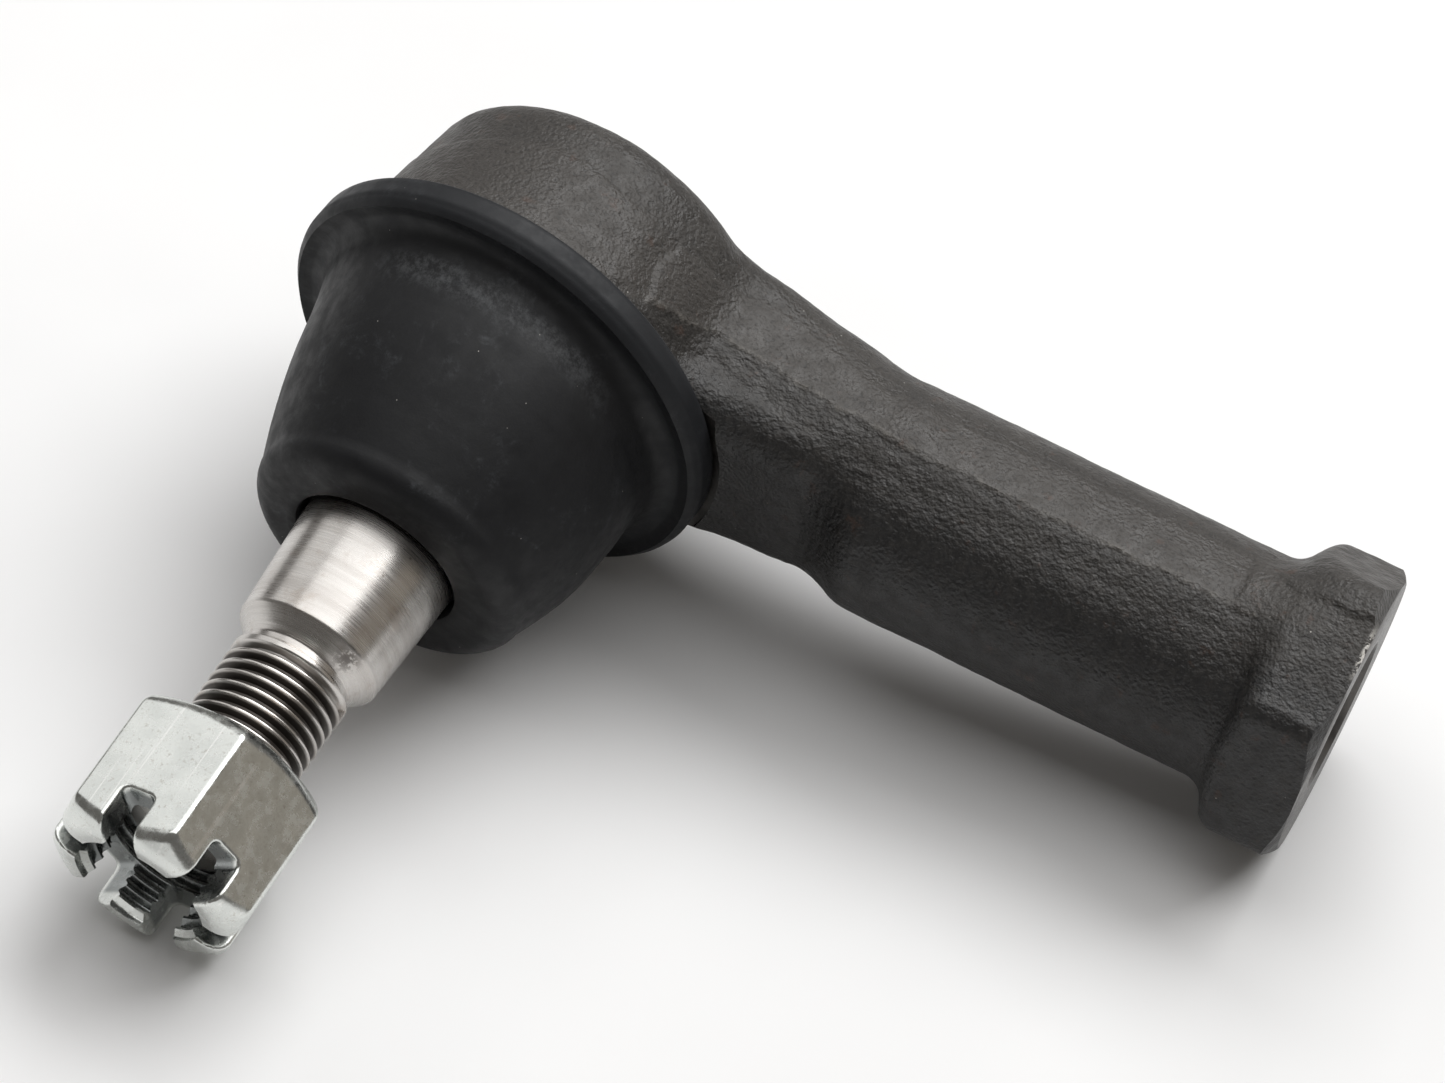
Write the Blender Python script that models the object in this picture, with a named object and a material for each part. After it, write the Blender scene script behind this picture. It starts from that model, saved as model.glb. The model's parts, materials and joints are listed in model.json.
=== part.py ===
"""Tie rod end: forged socket housing, ball stud in its bearing, dust boot and castle nut.

The part lies on its side.  It rests on the rim of its boot, a corner of its hex end and a
corner of its nut.  All sizes below are millimetres; the finished objects are in metres.
"""
import math

import bmesh
import bpy
from mathutils import Matrix, Vector

MM = 0.001
FIT_GAP = 0.3            # left between pieces that touch on the real part

# ---- how the part lies: its own axes (arm along X, stud near -Y) to the ground ----
LYING_PITCH = 5.71       # degrees, arm end down
LYING_ROLL = 7.45        # degrees, nut end down
BALL_CENTRE = (-30.48, 27.2, 23.13)

# ---- directions in the part's own axes ----
STUD_LEAN = 6.25         # socket axis leans this far back from square to the arm
STUD_REST_X = 3.05       # stud leans in its ball joint, towards the arm
STUD_REST_Z = -4.0       # and towards the ground

# ---- socket head, heights along the socket axis, positive towards the stud ----
HEAD_RADIUS = 20.0          # at the boot seat
HEAD_BACK_RADIUS = 18.3     # the forging has draft
HEAD_BACK = -12.5
HEAD_FRONT = 7.7
HEAD_EDGE_ROUND = 3.4
BOOT_SEAT_RADIUS = 16.0
BOOT_SEAT_BACK = 4.35
SEAT_RELIEF_RADIUS = 23.1
BORE_RADIUS = 12.9
BORE_FRONT = 5.7
MOUTH_RADIUS = 11.05
COVER_LEDGE = -9.0
COVER_POCKET_RADIUS = 14.2
COVER_THICKNESS = 1.5
COVER_DOME = 1.1
LIP_RADIUS = 12.6

# ---- ball, bearing and stud ----
BALL_RADIUS = 10.0
BALL_FLAT = 8.6          # the ball's back pole is flattened at this depth
NECK_RADIUS = 6.0
SEAT_FRONT = 5.0
SEAT_BACK = -7.8
SEAT_OUTER_RADIUS = 12.6
SPRING_THICKNESS = 0.5
TAPER_END = 40.9
TAPER_END_RADIUS = 7.26
TAPER_SLOPE = 0.05       # radius per length: a 1 in 10 taper
TAPER_START = 24.0
CHAMFER_END = 42.3
UNDERCUT_END = 43.9
UNDERCUT_RADIUS = 5.4
THREAD_RADIUS = 6.0
STUD_TIP = 62.5
COTTER_HOLE_RADIUS = 1.6
COTTER_HOLE_POSITION = 58.0

# ---- boot ----
RIM_RADIUS = 22.4
RIM_BACK = 4.65
RIM_FRONT = 8.0
BELL_BASE_RADIUS = 18.2
BELL_TOP_RADIUS = 14.2
BOOT_END = 29.4
BOOT_END_ROUND = 2.6
BOOT_HOLE_RADIUS = 8.4
BOOT_WALL = 2.2
LIP_DEPTH = 6.0

# ---- nut ----
NUT_FLATS = 18.7
NUT_BASE = 54.2
NUT_HEIGHT = 15.0
NUT_SLOT_WIDTH = 3.5
NUT_SLOT_DEPTH = 5.0
NUT_TURN = 17.6          # degrees about the stud

# ---- arm ----
ARM_LENGTH = 83.1
ARM_RADIUS = 11.1
HEX_FLATS = 26.9
HEX_CORNER_ROUND = 2.0
HEX_START = 75.6
HEX_CHAMFER_START = 82.0
HEX_END_RADIUS = 13.5
HEX_TURN = 15.5          # degrees, one corner's place round the arm, from +Y towards +Z
THREAD_BORE_RADIUS = 6.2
THREAD_BORE_DEPTH = 45.0
COUNTERSINK_RADIUS = 7.5
BARREL_START = 38.5
# x, depth to the stud side, depth to the back, half height, corner rounds on those two sides
WEB_SECTIONS = [
    (5.3, 7.5, 11.2, 10.7, 4.0, 4.0),
    (20.0, 7.5, 11.2, 10.7, 4.0, 4.5),
    (24.0, 7.1, 11.0, 10.6, 4.3, 5.0),
    (29.0, 7.0, 10.9, 10.7, 4.4, 7.0),
    (32.0, 6.8, 10.9, 10.7, 4.8, 8.6),
    (33.5, 8.2, 10.9, 10.7, 7.4, 9.8),
    (35.5, 10.0, 10.95, 10.85, 9.4, 10.4),
]

ROUND_SEGMENTS = 48
ARM_SEGMENTS = 72


# ---------------------------------------------------------------- scene and frames
def clear_scene():
    for ob in list(bpy.data.objects):
        bpy.data.objects.remove(ob, do_unlink=True)


def part_to_ground():
    """Place of the part's own axes, whose origin is the ball centre, on the ground."""
    pitch = Matrix.Rotation(math.radians(LYING_PITCH), 4, "Y")
    roll = Matrix.Rotation(math.radians(LYING_ROLL), 4, "X")
    return Matrix.Translation(Vector(BALL_CENTRE) * MM) @ roll @ pitch


def socket_direction():
    lean = math.radians(STUD_LEAN)
    return Vector((-math.sin(lean), -math.cos(lean), 0.0))


def stud_direction():
    lean = math.radians(STUD_LEAN)
    side = Vector((math.cos(lean), -math.sin(lean), 0.0))
    up = Vector((0.0, 0.0, 1.0))
    tilted = socket_direction()
    tilted += side * math.tan(math.radians(STUD_REST_X))
    tilted += up * math.tan(math.radians(STUD_REST_Z))
    return tilted.normalized()


def axis_frame(direction):
    """A frame at the ball centre with Z along direction and X as close to the arm as it can be."""
    z = direction.normalized()
    x = (Vector((1.0, 0.0, 0.0)) - z * z.x).normalized()
    y = z.cross(x)
    return Matrix((x, y, z)).transposed().to_4x4()


# ---------------------------------------------------------------- mesh tools
def new_object(name, bm, sharp_angle=35.0):
    mesh = bpy.data.meshes.new(name)
    bmesh.ops.recalc_face_normals(bm, faces=bm.faces)
    bm.to_mesh(mesh)
    bm.free()
    mesh.shade_smooth()
    mesh.set_sharp_from_angle(angle=math.radians(sharp_angle))
    ob = bpy.data.objects.new(name, mesh)
    bpy.context.scene.collection.objects.link(ob)
    return ob


def turned(name, profile, segments=ROUND_SEGMENTS):
    """Spin a closed profile of (radius, height) points about Z."""
    bm = bmesh.new()
    verts = [bm.verts.new((r * MM, 0.0, h * MM)) for r, h in profile]
    edges = [bm.edges.new((a, b)) for a, b in zip(verts, verts[1:])]
    if profile[0][0] > 0.0:
        edges.append(bm.edges.new((verts[-1], verts[0])))
    bmesh.ops.spin(bm, geom=verts + edges, axis=(0, 0, 1), cent=(0, 0, 0),
                   angle=math.tau, steps=segments)
    bmesh.ops.remove_doubles(bm, verts=bm.verts, dist=1e-7)
    return new_object(name, bm)


def arc(centre, radius, start, end, steps):
    """Points of an arc in a profile; angles in degrees from the radial direction."""
    points = []
    for i in range(steps + 1):
        angle = math.radians(start + (end - start) * i / steps)
        points.append((centre[0] + radius * math.cos(angle),
                       centre[1] + radius * math.sin(angle)))
    return points


def lofted(name, rings):
    """Bridge a run of closed rings, all with as many points, and cap both ends."""
    bm = bmesh.new()
    rows = [[bm.verts.new(Vector(p) * MM) for p in ring] for ring in rings]
    count = len(rows[0])
    for low, high in zip(rows, rows[1:]):
        for i in range(count):
            j = (i + 1) % count
            bm.faces.new((low[i], low[j], high[j], high[i]))
    bm.faces.new(rows[0])
    bm.faces.new(list(reversed(rows[-1])))
    return new_object(name, bm)


def prism(name, outline, low, high):
    return lofted(name, [[(x, y, h) for x, y in outline] for h in (low, high)])


def combine(target, tool, operation):
    """Add or cut with another object, which stays in the file as a guide."""
    modifier = target.modifiers.new(tool.name, "BOOLEAN")
    modifier.object = tool
    modifier.operation = operation
    modifier.solver = "EXACT"
    tool.hide_render = True
    tool.display_type = "WIRE"


def material(name, color, roughness, metallic=0.0):
    mat = bpy.data.materials.new(name)
    mat.use_nodes = True
    shader = mat.node_tree.nodes["Principled BSDF"]
    shader.inputs["Base Color"].default_value = (*color, 1.0)
    shader.inputs["Roughness"].default_value = roughness
    shader.inputs["Metallic"].default_value = metallic
    return mat


# ---------------------------------------------------------------- housing
def head_blank():
    edge = arc((HEAD_BACK_RADIUS - HEAD_EDGE_ROUND, HEAD_BACK + HEAD_EDGE_ROUND),
               HEAD_EDGE_ROUND, -90, 0, 6)
    profile = [(0.0, HEAD_BACK)] + edge
    profile += [(HEAD_RADIUS, HEAD_FRONT), (0.0, HEAD_FRONT)]
    return turned("head_blank", profile, 72)


def seat_relief_cutter():
    """Turns the boot's seat on the front of the head, and a step into the arm beside it."""
    top = HEAD_FRONT + 14.0
    return turned("seat_relief_cutter", [
        (BOOT_SEAT_RADIUS, BOOT_SEAT_BACK), (SEAT_RELIEF_RADIUS, BOOT_SEAT_BACK),
        (SEAT_RELIEF_RADIUS, top), (BOOT_SEAT_RADIUS, top)], 72)


def socket_cutter():
    """Cavity for the bearing, the pocket for the cover plate and the mouth for the stud."""
    cover_back = COVER_LEDGE - COVER_THICKNESS - 2 * FIT_GAP
    return turned("socket_cutter", [
        (0.0, HEAD_BACK - 1.0), (LIP_RADIUS, HEAD_BACK - 1.0), (LIP_RADIUS, cover_back),
        (COVER_POCKET_RADIUS, cover_back), (COVER_POCKET_RADIUS, COVER_LEDGE),
        (BORE_RADIUS, COVER_LEDGE), (BORE_RADIUS, BORE_FRONT), (MOUTH_RADIUS, BORE_FRONT),
        (MOUTH_RADIUS, HEAD_FRONT + 1.0), (0.0, HEAD_FRONT + 1.0)])


def hex_reach(angle, flats):
    """Distance from the arm's axis to a hexagon with rounded corners, a corner at angle 0."""
    off_corner = abs((angle + 30.0) % 60.0 - 30.0)
    corner_centre = (flats / 2 - HEX_CORNER_ROUND) / math.cos(math.radians(30))
    side = math.radians(off_corner)
    to_flat = flats / 2 / math.cos(math.radians(30 - off_corner))
    inside = HEX_CORNER_ROUND ** 2 - (corner_centre * math.sin(side)) ** 2
    if inside <= 0.0:
        return to_flat
    return min(to_flat, corner_centre * math.cos(side) + math.sqrt(inside))


def block_reach(angle, front, back, half_height, front_round, back_round):
    """Distance from the arm's axis to a rounded rectangle that lies across Y and Z."""
    cos_a = math.cos(math.radians(angle))
    sin_a = abs(math.sin(math.radians(angle)))
    depth = back if cos_a > 0 else front
    corner = back_round if cos_a > 0 else front_round

    def outside(reach):
        across = abs(reach * cos_a) - (depth - corner)
        along = reach * sin_a - (half_height - corner)
        if across > 0 and along > 0:
            return math.hypot(across, along) > corner
        return max(across, along) > corner

    low, high = 0.0, 2 * (depth + half_height)
    for _ in range(40):
        middle = (low + high) / 2
        if outside(middle):
            high = middle
        else:
            low = middle
    return low


def arm_ring(x, reach):
    """A ring of the arm at x; reach gives its radius at an angle from a hexagon corner."""
    ring = []
    for i in range(ARM_SEGMENTS):
        angle = 360.0 * i / ARM_SEGMENTS
        radius = reach(angle)
        place = math.radians(angle + HEX_TURN)
        ring.append((x, radius * math.cos(place), radius * math.sin(place)))
    return ring


def arm_blank():
    """The arm as one loft: flattened web, round barrel, hollow fillet and hex end."""
    rings = []
    for x, front, back, half_height, front_round, back_round in WEB_SECTIONS:
        sizes = (front, back, half_height, front_round, back_round)
        rings.append(arm_ring(x, lambda a: block_reach(a + HEX_TURN, *sizes)))
    for x in (BARREL_START, HEX_START - 3.0):
        rings.append(arm_ring(x, lambda a: ARM_RADIUS))
    for x, share in ((HEX_START - 1.9, 0.16), (HEX_START - 0.9, 0.6), (HEX_START, 1.0),
                     (HEX_CHAMFER_START, 1.0)):
        rings.append(arm_ring(x, lambda a: ARM_RADIUS + share * (
            hex_reach(a, HEX_FLATS) - ARM_RADIUS)))
    rings.append(arm_ring(ARM_LENGTH, lambda a: min(hex_reach(a, HEX_FLATS), HEX_END_RADIUS)))
    return lofted("arm_blank", rings)


def thread_bore_cutter():
    mouth = COUNTERSINK_RADIUS - THREAD_BORE_RADIUS
    end = ARM_LENGTH - THREAD_BORE_DEPTH
    cutter = turned("thread_bore_cutter", [
        (0.0, end - 3.0), (THREAD_BORE_RADIUS, end), (THREAD_BORE_RADIUS, ARM_LENGTH - mouth),
        (COUNTERSINK_RADIUS + 1.0, ARM_LENGTH + 1.0), (0.0, ARM_LENGTH + 1.0)], 48)
    cutter.matrix_world = axis_frame(Vector((1.0, 0.0, 1e-6)))
    return cutter


def housing(steel):
    body = head_blank()
    body.name = "housing"
    socket = axis_frame(socket_direction())
    arm = arm_blank()
    cutters = [seat_relief_cutter(), socket_cutter(), thread_bore_cutter()]
    for ob in [body] + cutters[:2]:
        ob.matrix_world = socket
    combine(body, arm, "UNION")
    for cutter in cutters:
        combine(body, cutter, "DIFFERENCE")
    body.data.materials.append(steel)
    return [body, arm] + cutters


# ---------------------------------------------------------------- inside the socket
def sphere_points(radius, low, high, steps):
    """Profile points on a sphere between two heights over its centre, from low to high."""
    start = math.degrees(math.asin(low / radius))
    end = math.degrees(math.asin(high / radius))
    return arc((0.0, 0.0), radius, start, end, steps)


def cover_plate(steel):
    back = COVER_LEDGE - FIT_GAP - COVER_THICKNESS
    front = COVER_LEDGE - FIT_GAP
    rim = COVER_POCKET_RADIUS - FIT_GAP
    plate = turned("cover_plate", [
        (0.0, back - COVER_DOME), (6.0, back - COVER_DOME), (7.6, back), (rim, back),
        (rim, front), (7.6, front), (6.0, front - COVER_DOME), (0.0, front - COVER_DOME)])
    plate.data.materials.append(steel)
    return plate


def preload_spring(steel):
    """A dished spring washer between the cover plate and the rear seat."""
    outer_back = COVER_LEDGE
    inner_back = COVER_LEDGE + 0.25
    spring = turned("preload_spring", [
        (8.0, inner_back), (12.2, outer_back), (12.2, outer_back + SPRING_THICKNESS),
        (8.0, inner_back + SPRING_THICKNESS)])
    spring.data.materials.append(steel)
    return spring


def rear_ball_seat(polymer):
    radius = BALL_RADIUS + FIT_GAP
    low = SEAT_BACK + 1.0
    profile = sphere_points(radius, low, -FIT_GAP, 8)
    profile += [(SEAT_OUTER_RADIUS, -FIT_GAP), (SEAT_OUTER_RADIUS, SEAT_BACK),
                (profile[0][0], SEAT_BACK)]
    seat = turned("rear_ball_seat", profile)
    seat.data.materials.append(polymer)
    return seat


def front_ball_seat(polymer):
    radius = BALL_RADIUS + FIT_GAP
    profile = sphere_points(radius, FIT_GAP / 2, SEAT_FRONT, 6)
    profile += [(SEAT_OUTER_RADIUS, SEAT_FRONT), (SEAT_OUTER_RADIUS, FIT_GAP / 2)]
    seat = turned("front_ball_seat", profile)
    seat.data.materials.append(polymer)
    return seat


# ---------------------------------------------------------------- ball stud
def ball_stud(steel):
    """Ball, neck, taper and threaded end on one axis, with a cotter hole across the end."""
    collar = TAPER_END_RADIUS + TAPER_SLOPE * (TAPER_END - TAPER_START)
    neck_height = math.sqrt(BALL_RADIUS ** 2 - NECK_RADIUS ** 2)
    profile = [(0.0, -BALL_FLAT)]
    profile += sphere_points(BALL_RADIUS, -BALL_FLAT, neck_height, 18)
    profile += [(NECK_RADIUS, 13.0), (collar - 0.6, TAPER_START - 3.0), (collar, TAPER_START),
                (TAPER_END_RADIUS, TAPER_END), (THREAD_RADIUS - 0.1, CHAMFER_END),
                (UNDERCUT_RADIUS, CHAMFER_END + 0.6), (UNDERCUT_RADIUS, UNDERCUT_END - 0.6),
                (THREAD_RADIUS, UNDERCUT_END), (THREAD_RADIUS, STUD_TIP - 1.0),
                (THREAD_RADIUS - 1.0, STUD_TIP), (0.0, STUD_TIP)]
    stud = turned("ball_stud", profile)
    hole = prism("cotter_hole_cutter", circle_outline(COTTER_HOLE_RADIUS, 16), -9.0, 9.0)
    across = Matrix.Rotation(math.radians(90), 4, "Y")
    hole.matrix_world = Matrix.Translation((0, 0, COTTER_HOLE_POSITION * MM)) @ across
    combine(stud, hole, "DIFFERENCE")
    stud.data.materials.append(steel)
    return [stud, hole]


def circle_outline(radius, steps):
    turns = [math.tau * i / steps for i in range(steps)]
    return [(radius * math.cos(t), radius * math.sin(t)) for t in turns]


# ---------------------------------------------------------------- boot and its rings
def boot_bend():
    """Axis and angle of the turn that takes the socket axis to the stud's axis at rest."""
    socket = axis_frame(socket_direction())
    local_stud = socket.inverted().to_3x3() @ stud_direction()
    axis = Vector((0.0, 0.0, 1.0)).cross(local_stud).normalized()
    return axis, local_stud.angle(Vector((0.0, 0.0, 1.0)))


def bend_with_stud(ob, start, end):
    """Turn each point about the ball centre by a share that grows from start to end."""
    axis, angle = boot_bend()
    for vert in ob.data.vertices:
        share = min(1.0, max(0.0, (vert.co.z / MM - start) / (end - start)))
        share = share * share * (3 - 2 * share)
        vert.co = Matrix.Rotation(angle * share, 3, axis) @ vert.co


def dust_boot(rubber):
    corner = (BELL_TOP_RADIUS - BOOT_END_ROUND, BOOT_END - BOOT_END_ROUND)
    lip_back = BOOT_END - LIP_DEPTH
    ring_room = BOOT_SEAT_RADIUS + 1.9
    profile = [(RIM_RADIUS - 0.5, RIM_BACK), (RIM_RADIUS, RIM_BACK + 0.5),
               (RIM_RADIUS, RIM_FRONT - 0.5), (RIM_RADIUS - 0.5, RIM_FRONT),
               (BELL_BASE_RADIUS + 0.8, RIM_FRONT), (BELL_BASE_RADIUS, RIM_FRONT + 0.8)]
    for share in (0.3, 0.6, 0.85):
        height = RIM_FRONT + share * (corner[1] - RIM_FRONT)
        bulge = 0.5 * math.sin(math.pi * share)
        profile.append((BELL_BASE_RADIUS + share * (BELL_TOP_RADIUS - BELL_BASE_RADIUS) + bulge,
                        height))
    profile += arc(corner, BOOT_END_ROUND, 0, 90, 4)
    profile += [(BOOT_HOLE_RADIUS + 0.3, BOOT_END), (BOOT_HOLE_RADIUS, BOOT_END - 0.3),
                (BOOT_HOLE_RADIUS, lip_back + 3.6), (BOOT_HOLE_RADIUS + 2.0, lip_back + 3.6),
                (BOOT_HOLE_RADIUS + 2.0, lip_back), (BELL_TOP_RADIUS - BOOT_WALL, lip_back)]
    for share in (0.7, 0.4, 0.1):
        height = RIM_FRONT + share * (lip_back - RIM_FRONT)
        profile.append((BELL_BASE_RADIUS - BOOT_WALL
                        + share * (BELL_TOP_RADIUS - BELL_BASE_RADIUS), height))
    profile += [(BOOT_SEAT_RADIUS + FIT_GAP, RIM_FRONT), (ring_room, RIM_FRONT - 0.4),
                (ring_room, RIM_BACK)]
    boot = turned("dust_boot", profile)
    bend_with_stud(boot, RIM_FRONT, BOOT_END - LIP_DEPTH - 1.0)
    boot.data.materials.append(rubber)
    return boot


def boot_base_ring(steel):
    """Pressed steel ring inside the boot's foot, which grips the seat on the housing."""
    inner = BOOT_SEAT_RADIUS + FIT_GAP
    outer = BOOT_SEAT_RADIUS + 1.9 - FIT_GAP
    ring = turned("boot_base_ring", [
        (inner, RIM_BACK + 0.1), (outer, RIM_BACK + 0.1), (outer, RIM_FRONT - 0.9),
        (inner, RIM_FRONT - 0.5)])
    ring.data.materials.append(steel)
    return ring


def boot_lip_ring(steel):
    """Ring inside the boot's small end, which keeps the lip tight on the stud."""
    lip_back = BOOT_END - LIP_DEPTH
    ring = turned("boot_lip_ring", [
        (BOOT_HOLE_RADIUS + 0.2, lip_back + 0.3), (BOOT_HOLE_RADIUS + 1.7, lip_back + 0.3),
        (BOOT_HOLE_RADIUS + 1.7, lip_back + 3.3), (BOOT_HOLE_RADIUS + 0.2, lip_back + 3.3)])
    ring.data.materials.append(steel)
    return ring


# ---------------------------------------------------------------- nut
def castle_nut(steel):
    reach = NUT_FLATS / 2 / math.cos(math.radians(30))
    outline = [(reach * math.cos(math.radians(60 * k)), reach * math.sin(math.radians(60 * k)))
               for k in range(6)]
    top = NUT_BASE + NUT_HEIGHT
    nut = prism("castle_nut", outline, NUT_BASE, top)
    chamfer = turned("nut_chamfer_guide", [
        (0.0, NUT_BASE), (NUT_FLATS / 2 - 0.4, NUT_BASE), (reach + 0.1, NUT_BASE + 1.0),
        (reach + 0.1, top - 1.2), (NUT_FLATS / 2 - 0.6, top), (0.0, top)])
    bore = turned("nut_bore_cutter", [
        (0.0, NUT_BASE - 1.0), (THREAD_RADIUS + 1.6, NUT_BASE - 1.0),
        (THREAD_RADIUS + FIT_GAP, NUT_BASE + 0.6), (THREAD_RADIUS + FIT_GAP, top + 1.0),
        (0.0, top + 1.0)], 48)
    guides = [chamfer, bore]
    combine(nut, chamfer, "INTERSECT")
    combine(nut, bore, "DIFFERENCE")
    half = NUT_SLOT_WIDTH / 2
    for k in range(3):
        slot = prism(f"nut_slot_cutter_{k + 1}",
                     [(-half, -15.0), (half, -15.0), (half, 15.0), (-half, 15.0)],
                     top - NUT_SLOT_DEPTH, top + 1.0)
        slot.matrix_world = Matrix.Rotation(math.radians(60 * k), 4, "Z")
        combine(nut, slot, "DIFFERENCE")
        guides.append(slot)
    nut.data.materials.append(steel)
    return [nut] + guides


# ---------------------------------------------------------------- assembly
def place(objects, frame, holder):
    """Move objects by frame and hang them from holder, without changing that place."""
    for ob in objects:
        ob.matrix_world = frame @ ob.matrix_world
        ob.parent = holder


def build():
    clear_scene()
    forged = material("forged_steel", (0.085, 0.078, 0.07), 0.55, 0.6)
    turned_steel = material("turned_steel", (0.56, 0.54, 0.52), 0.28, 1.0)
    zinc = material("zinc_plate", (0.62, 0.64, 0.62), 0.3, 1.0)
    spring_steel = material("spring_steel", (0.25, 0.25, 0.26), 0.4, 1.0)
    polymer = material("acetal", (0.85, 0.84, 0.8), 0.4)
    rubber = material("rubber", (0.018, 0.018, 0.019), 0.6)

    socket_frame = axis_frame(socket_direction())
    stud_frame = axis_frame(stud_direction())
    nut_turn = Matrix.Rotation(math.radians(NUT_TURN), 4, "Z")
    holder = bpy.data.objects.new("tie_rod_end", None)
    bpy.context.scene.collection.objects.link(holder)

    place(housing(forged), Matrix(), holder)
    place([cover_plate(zinc), preload_spring(spring_steel), rear_ball_seat(polymer),
           front_ball_seat(polymer), dust_boot(rubber), boot_base_ring(spring_steel)],
          socket_frame, holder)
    place(ball_stud(turned_steel) + [boot_lip_ring(spring_steel)], stud_frame, holder)
    place(castle_nut(zinc), stud_frame @ nut_turn, holder)
    holder.matrix_world = part_to_ground()


build()
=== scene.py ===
"""Looks of the tie rod end: forged housing, dust boot, ball stud, castle nut and inner pieces.

Every piece is made in its own axes in millimetres and placed by frames read from the CAD record.
All axes start at the ball centre. Part axes: X along the arm, Y away from the stud, Z up.
Socket and stud axes: Z along their own axis, X nearest the arm. Nut axes: Z along the stud and X
through a corner of the hexagon. Arm axes: Z along the arm.
"""
import json
import math

import bmesh
import bpy
import numpy as np
from mathutils import Matrix, Vector, noise


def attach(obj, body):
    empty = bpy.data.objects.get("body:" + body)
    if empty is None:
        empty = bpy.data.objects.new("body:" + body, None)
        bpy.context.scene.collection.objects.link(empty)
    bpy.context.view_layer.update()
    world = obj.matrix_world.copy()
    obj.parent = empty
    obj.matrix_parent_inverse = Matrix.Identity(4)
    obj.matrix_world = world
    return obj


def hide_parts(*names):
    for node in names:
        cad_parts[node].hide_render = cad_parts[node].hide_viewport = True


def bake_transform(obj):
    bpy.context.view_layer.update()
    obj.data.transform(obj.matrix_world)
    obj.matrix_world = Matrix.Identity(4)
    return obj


MM = 0.001
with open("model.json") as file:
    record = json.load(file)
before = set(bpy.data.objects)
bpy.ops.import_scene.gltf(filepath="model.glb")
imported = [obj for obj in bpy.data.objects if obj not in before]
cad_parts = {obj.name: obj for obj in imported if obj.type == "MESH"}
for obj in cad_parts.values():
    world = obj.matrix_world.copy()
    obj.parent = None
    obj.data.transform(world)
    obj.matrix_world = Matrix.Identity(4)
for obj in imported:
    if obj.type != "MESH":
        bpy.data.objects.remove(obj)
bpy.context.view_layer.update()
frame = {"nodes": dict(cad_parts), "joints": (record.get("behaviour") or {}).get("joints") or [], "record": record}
JOINTS = {joint["name"]: joint for joint in frame["joints"]}
MOUNTS = {mount["name"]: mount for mount in frame["record"]["mounts"]}

# ---- forged head, heights along the socket axis ----
HEAD_RADIUS, HEAD_BACK_RADIUS = 20.0, 18.3
HEAD_BACK, HEAD_FRONT = -12.5, 7.7
HEAD_EDGE_ROUND = 3.4
BOOT_SEAT_RADIUS, BOOT_SEAT_BACK, SEAT_RELIEF_RADIUS = 16.0, 4.35, 23.1
BORE_RADIUS, BORE_FRONT, MOUTH_RADIUS = 12.9, 5.7, 11.05
COVER_LEDGE, COVER_POCKET_RADIUS, COVER_THICKNESS = -9.0, 14.2, 1.5
COVER_BACK = COVER_LEDGE - COVER_THICKNESS - 0.6
LIP_RADIUS = 12.6

# ---- forged arm, from the arm's axis ----
ARM_RADIUS, ARM_LENGTH = 11.1, 83.1
HEX_FLATS, HEX_CORNER_ROUND, HEX_START, HEX_END_RADIUS = 26.9, 2.0, 74.2, 13.5
THREAD_BORE_RADIUS, THREAD_BORE_MAJOR, THREAD_BORE_DEPTH = 6.2, 7.0, 45.0
COUNTERSINK_RADIUS = 7.5
THREAD_BORE_PITCH = 1.5
HEX_END_CHAMFER = 1.9  # along the arm, on the hexagon's outer end
HEAD_FILLET, HEX_FILLET = 2.2, 1.9  # where the arm meets the head and the hexagon
# x, depth to the stud side, depth to the back, half height, corner rounds on those two sides
WEB_SECTIONS = np.array([
    (5.3, 7.5, 11.2, 10.7, 4.0, 4.0),
    (16.5, 7.5, 11.4, 11.2, 4.0, 3.1),
    (20.0, 7.5, 11.3, 10.95, 4.0, 3.8),
    (24.0, 7.1, 11.0, 10.6, 4.3, 5.0),
    (29.0, 7.0, 10.9, 10.7, 4.4, 7.0),
    (32.0, 6.8, 10.9, 10.7, 4.8, 8.6),
    (33.5, 8.2, 10.9, 10.7, 7.4, 9.8),
    (35.5, 10.0, 10.95, 10.85, 9.4, 10.4),
    (38.5, 11.1, 11.1, 11.1, 11.0, 11.0),
])
WEB_EASE = 1.2  # the sections are averaged this far to each side
WEB_DRAFT, WEB_DRAFT_MIDDLE = 0.06, -1.0  # fall of the web's top for each mm off its middle
BARREL_START, BARREL_FULL = 34.0, 38.5
# the trimmed flash land round the forging: its two edges as (x, y)
LAND_LOW = np.array([(-20, -4.5), (4, -4.2), (9, -3.6), (12, -2.5), (17, 0.7), (26, -0.2),
                     (38, -1.6), (75, -1.8)])
LAND_HIGH = np.array([(-20, 5.2), (-4, 6.3), (0, 5.9), (4, 4.5), (12, 4.2), (19, 6.3), (24, 6.0),
                      (31, 3.6), (45, 3.9), (75, 4.9)])
LAND_HEIGHT, BURR_HEIGHT, PEBBLE_HEIGHT = 0.13, 0.035, 0.10
HEX_CROWN_HEIGHT, HEX_LIP_HEIGHT, HEAD_STEP_DEPTH = 0.3, 0.13, 0.3

# ---- ball stud, heights from the ball centre ----
BALL_RADIUS, BALL_FLAT, NECK_RADIUS = 10.0, 8.6, 6.0
TAPER_START, TAPER_END, TAPER_END_RADIUS, TAPER_SLOPE = 24.0, 40.9, 7.26, 0.05
CHAMFER_END, UNDERCUT_END, UNDERCUT_RADIUS = 42.3, 43.9, 5.35
THREAD_RADIUS, THREAD_DEPTH, THREAD_PITCH, STUD_TIP = 6.0, 0.74, 1.25, 62.5
COTTER_HOLE_RADIUS, COTTER_HOLE_POSITION = 1.6, 58.0

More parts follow.
